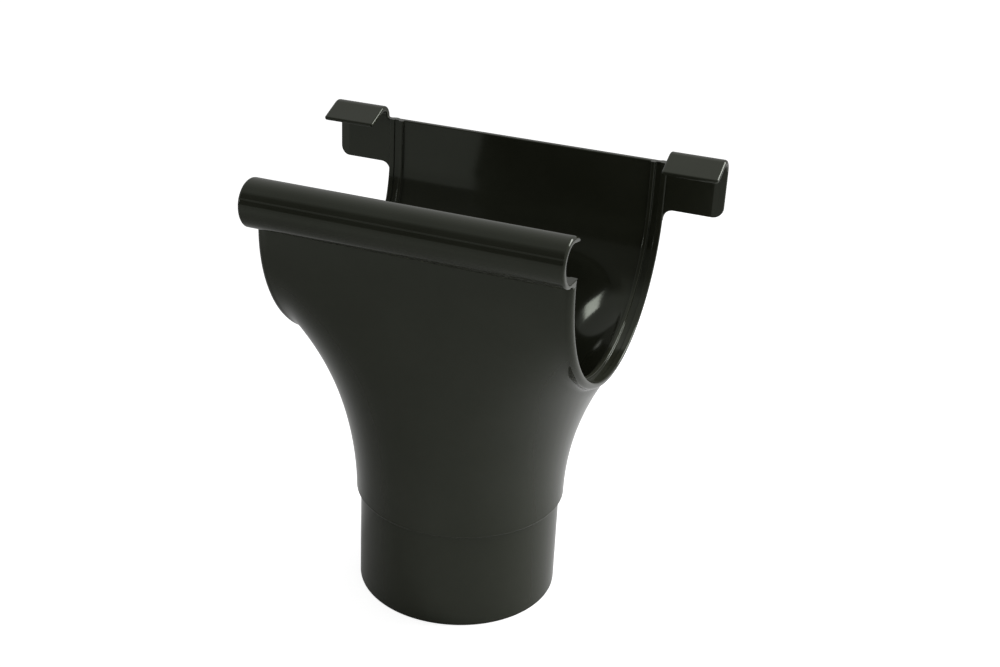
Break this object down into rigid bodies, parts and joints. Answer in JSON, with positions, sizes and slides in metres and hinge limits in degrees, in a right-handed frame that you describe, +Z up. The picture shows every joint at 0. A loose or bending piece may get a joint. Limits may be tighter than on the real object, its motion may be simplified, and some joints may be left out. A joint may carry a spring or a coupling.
{
  "type": "gutter outlet",
  "caption": "Half-round gutter outlet with clip-over front bead, rear hooks and a flared funnel that runs into a round spigot.",
  "frame": {"origin": "centre of the spigot's lower end face", "axes": "+X along the gutter, +Y to the wall behind the gutter, +Z up along the spigot's axis"},
  "size_m": [0.1654, 0.118, 0.177],
  "materials": {
    "plastic": "glossy dark moulded plastic"
  },
  "bodies": {
    "root": {"outlet": "plastic"}
  },
  "joints": []
}
